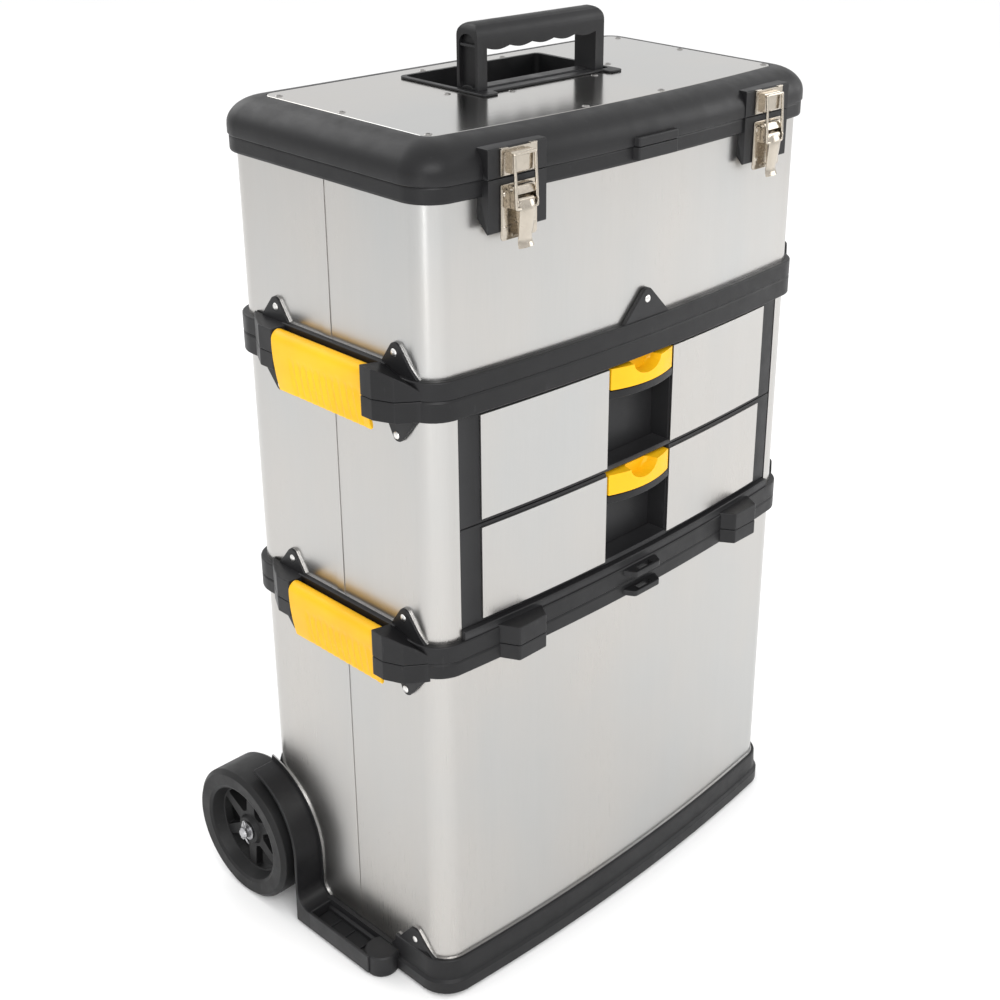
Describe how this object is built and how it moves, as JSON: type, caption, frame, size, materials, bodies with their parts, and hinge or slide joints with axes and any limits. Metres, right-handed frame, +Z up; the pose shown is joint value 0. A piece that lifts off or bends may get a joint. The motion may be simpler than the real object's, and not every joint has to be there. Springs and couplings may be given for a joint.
{
  "type": "rolling toolbox",
  "caption": "Rolling steel toolbox in stacked sections: wheeled bin, drawer unit and lidded toolbox with lift-out tray, yellow latches and a pull-out handle.",
  "frame": {"origin": "middle of the footprint on the floor, half way across and half way between the front latches and the back of the wheels", "axes": "+Z up, -Y towards the front with the drawers, +X to the right seen from the front"},
  "size_m": [0.58, 0.3752, 0.905],
  "materials": {
    "black_plastic": "fine moulded texture",
    "yellow_plastic": "satin moulded",
    "wheel_plastic": "hard moulded",
    "brushed_steel": "brushed, clear coated",
    "nickel": "nickel plated",
    "zinc": "zinc plated"
  },
  "bodies": {
    "bin": {"base": "black_plastic", "bin_sleeve": "brushed_steel", "bin_top_rim": "black_plastic", "axle": "zinc", "washer_left": "zinc", "washer_right": "zinc", "cotter_pin_left": "zinc", "cotter_pin_right": "zinc", "guide_tube_left": "zinc", "guide_tube_right": "zinc", "handle_bracket_lower": "black_plastic", "handle_bracket_upper": "black_plastic"},
    "wheel_left": {"wheel_left": "wheel_plastic"},
    "wheel_right": {"wheel_right": "wheel_plastic"},
    "trolley_handle": {"inner_tube_left": "zinc", "inner_tube_right": "zinc", "trolley_grip": "black_plastic"},
    "trolley_button": {"release_button": "yellow_plastic"},
    "drawer_unit": {"case_sleeve": "brushed_steel", "case_lower_rim": "black_plastic", "case_upper_rim": "black_plastic", "drawer_frame": "black_plastic", "side_latch_pin_lower_left": "zinc", "side_latch_pin_lower_right": "zinc"},
    "drawer_lower": {"drawer_lower": "black_plastic", "drawer_lower_plate_left": "brushed_steel", "drawer_lower_plate_right": "brushed_steel"},
    "drawer_upper": {"drawer_upper": "black_plastic", "drawer_upper_plate_left": "brushed_steel", "drawer_upper_plate_right": "brushed_steel"},
    "drawer_latch_lower": {"drawer_lower_pull": "yellow_plastic"},
    "drawer_latch_upper": {"drawer_upper_pull": "yellow_plastic"},
    "top_box": {"box_base": "black_plastic", "box_sleeve": "brushed_steel", "box_top_rim": "black_plastic", "latch_base_left": "nickel", "latch_base_right": "nickel", "hinge_pin_left": "zinc", "hinge_pin_right": "zinc", "side_latch_pin_upper_left": "zinc", "side_latch_pin_upper_right": "zinc"},
    "tray": {"tool_tray": "black_plastic"},
    "lid": {"lid_frame": "black_plastic", "lid_plate": "brushed_steel", "handle_well": "black_plastic", "latch_keeper_left": "nickel", "latch_keeper_right": "nickel"},
    "lid_handle": {"lid_handle": "black_plastic"},
    "latch_lever_left": {"latch_lever_left": "nickel"},
    "latch_loop_left": {"latch_loop_left": "nickel"},
    "side_latch_lower_left": {"side_latch_lower_left": "yellow_plastic"},
    "side_latch_upper_left": {"side_latch_upper_left": "yellow_plastic"},
    "latch_lever_right": {"latch_lever_right": "nickel"},
    "latch_loop_right": {"latch_loop_right": "nickel"},
    "side_latch_lower_right": {"side_latch_lower_right": "yellow_plastic"},
    "side_latch_upper_right": {"side_latch_upper_right": "yellow_plastic"}
  },
  "joints": [
    {"name": "wheel_left_spin", "type": "hinge", "parent": "bin", "child": "wheel_left", "pos_m": [-0.265, 0.11462, 0.073], "axis": [1, 0, 0], "continuous": true},
    {"name": "wheel_right_spin", "type": "hinge", "parent": "bin", "child": "wheel_right", "pos_m": [0.265, 0.11462, 0.073], "axis": [1, 0, 0], "continuous": true},
    {"name": "trolley_handle_slide", "type": "slide", "parent": "bin", "child": "trolley_handle", "axis": [0, 0, 1], "range_m": [0, 0.26]},
    {"name": "trolley_button_press", "type": "slide", "parent": "trolley_handle", "child": "trolley_button", "axis": [0, 0, -1], "range_m": [0, 0.004], "stiffness_N_per_m": 600},
    {"name": "drawer_unit_lift", "type": "slide", "parent": "bin", "child": "drawer_unit", "axis": [0, 0, 1], "range_m": [0, 0.3]},
    {"name": "drawer_lower_slide", "type": "slide", "parent": "drawer_unit", "child": "drawer_lower", "axis": [0, -1, 0], "range_m": [0, 0.2]},
    {"name": "drawer_latch_lower_pull", "type": "hinge", "parent": "drawer_lower", "child": "drawer_latch_lower", "pos_m": [0, -0.17638, 0.4827], "axis": [1, 0, 0], "range_deg": [0, 15], "stiffness_Nm_per_rad": 0.5},
    {"name": "drawer_upper_slide", "type": "slide", "parent": "drawer_unit", "child": "drawer_upper", "axis": [0, -1, 0], "range_m": [0, 0.2]},
    {"name": "drawer_latch_upper_pull", "type": "hinge", "parent": "drawer_upper", "child": "drawer_latch_upper", "pos_m": [0, -0.17638, 0.59], "axis": [1, 0, 0], "range_deg": [0, 15], "stiffness_Nm_per_rad": 0.5},
    {"name": "top_box_lift", "type": "slide", "parent": "drawer_unit", "child": "top_box", "axis": [0, 0, 1], "range_m": [0, 0.3]},
    {"name": "tray_lift", "type": "slide", "parent": "top_box", "child": "tray", "axis": [0, 0, 1], "range_m": [0, 0.02]},
    {"name": "lid_hinge", "type": "hinge", "parent": "top_box", "child": "lid", "pos_m": [0, 0.11762, 0.814], "axis": [-1, 0, 0], "range_deg": [0, 100]},
    {"name": "lid_handle_fold", "type": "hinge", "parent": "lid", "child": "lid_handle", "pos_m": [0, -0.02688, 0.8375], "axis": [-1, 0, 0], "range_deg": [0, 90]},
    {"name": "latch_lever_left_turn", "type": "hinge", "parent": "top_box", "child": "latch_lever_left", "pos_m": [-0.166, -0.18132, 0.793], "axis": [-1, 0, 0], "range_deg": [0, 105]},
    {"name": "latch_loop_left_swing", "type": "hinge", "parent": "latch_lever_left", "child": "latch_loop_left", "pos_m": [-0.166, -0.18532, 0.786], "axis": [-1, 0, 0], "range_deg": [-116, 0]},
    {"name": "side_latch_lower_left_turn", "type": "hinge", "parent": "drawer_unit", "child": "side_latch_lower_left", "pos_m": [-0.265, -0.03838, 0.394], "axis": [0, 1, 0], "range_deg": [0, 95]},
    {"name": "side_latch_upper_left_turn", "type": "hinge", "parent": "top_box", "child": "side_latch_upper_left", "pos_m": [-0.265, -0.03838, 0.646], "axis": [0, 1, 0], "range_deg": [0, 95]},
    {"name": "latch_lever_right_turn", "type": "hinge", "parent": "top_box", "child": "latch_lever_right", "pos_m": [0.166, -0.18132, 0.793], "axis": [-1, 0, 0], "range_deg": [0, 105]},
    {"name": "latch_loop_right_swing", "type": "hinge", "parent": "latch_lever_right", "child": "latch_loop_right", "pos_m": [0.166, -0.18532, 0.786], "axis": [-1, 0, 0], "range_deg": [-116, 0]},
    {"name": "side_latch_lower_right_turn", "type": "hinge", "parent": "drawer_unit", "child": "side_latch_lower_right", "pos_m": [0.265, -0.03838, 0.394], "axis": [0, -1, 0], "range_deg": [0, 95]},
    {"name": "side_latch_upper_right_turn", "type": "hinge", "parent": "top_box", "child": "side_latch_upper_right", "pos_m": [0.265, -0.03838, 0.646], "axis": [0, -1, 0], "range_deg": [0, 95]}
  ],
  "couplings": [
    {"joint": "latch_loop_left_swing", "follows": "latch_lever_left_turn", "ratio": -1.1},
    {"joint": "latch_loop_right_swing", "follows": "latch_lever_right_turn", "ratio": -1.1}
  ]
}
